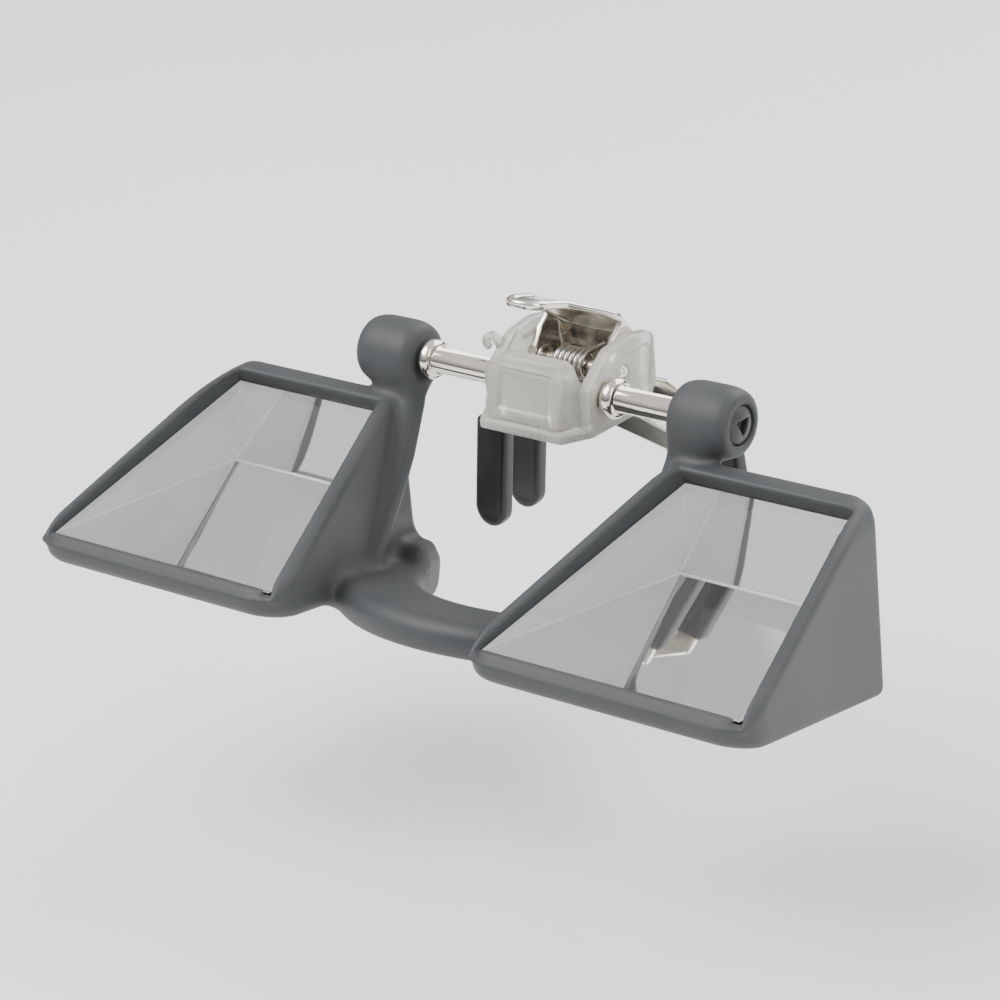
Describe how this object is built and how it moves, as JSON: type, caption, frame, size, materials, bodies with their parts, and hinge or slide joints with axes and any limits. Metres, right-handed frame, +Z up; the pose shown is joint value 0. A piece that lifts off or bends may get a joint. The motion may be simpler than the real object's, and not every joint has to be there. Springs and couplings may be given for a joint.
{
  "type": "clip-on flip-up prism lenses",
  "caption": "Spring clip for a spectacle frame that carries two wedge prisms in a bridged housing, which flip up about an axle over the brow.",
  "frame": {"origin": "middle of the gripping gap between the four rubber sleeves, where the spectacles' bridge sits", "axes": "+X along the flip axle, -Y forwards from the wearer's face, +Z up; prisms flipped down"},
  "size_m": [0.0966, 0.0468, 0.0379],
  "materials": {
    "soft_touch_plastic": "soft-touch dark grey moulding",
    "latch_plastic": "dark grey moulding",
    "plug_plastic": "dark grey moulding",
    "prism_glass": "polished optical glass",
    "sleeve_rubber": "satin rubber tube",
    "plated_steel": "bright nickel plate",
    "plated_strip": "bright nickel-plated strip",
    "spring_steel": "bright spring wire and leaf",
    "milky_plastic": "translucent milky moulding"
  },
  "bodies": {
    "clip": {"clip_body": "milky_plastic", "front_cover": "milky_plastic", "cover_screws": "plated_steel", "friction_spring": "spring_steel", "front_claw": "plated_strip", "claw_rivets": "plated_strip", "front_left_sleeve": "sleeve_rubber", "front_right_sleeve": "sleeve_rubber", "jaw_pin": "plated_steel", "jaw_pin_clips": "spring_steel", "jaw_spring": "spring_steel"},
    "flip": {"flip_frame": "soft_touch_plastic", "left_prism": "prism_glass", "right_prism": "prism_glass", "left_prism_latch": "latch_plastic", "right_prism_latch": "latch_plastic", "axle": "plated_steel", "left_axle_tube": "plated_steel", "right_axle_tube": "plated_steel", "left_hub_plug": "plug_plastic", "right_hub_plug": "plug_plastic"},
    "jaw": {"thumb_lever": "plated_strip", "rear_claw": "plated_strip", "lever_rivets": "plated_strip", "rear_left_sleeve": "sleeve_rubber", "rear_right_sleeve": "sleeve_rubber"}
  },
  "joints": [
    {"name": "flip_hinge", "type": "hinge", "parent": "clip", "child": "flip", "pos_m": [0, -0.0092, 0.015], "axis": [-1, 0, 0], "range_deg": [0, 138]},
    {"name": "jaw_hinge", "type": "hinge", "parent": "clip", "child": "jaw", "pos_m": [0, -0.0048, 0.016], "axis": [1, 0, 0], "range_deg": [-9, 14], "stiffness_Nm_per_rad": 0.03, "springref_deg": -57.3, "deforming": ["jaw_spring"]}
  ]
}
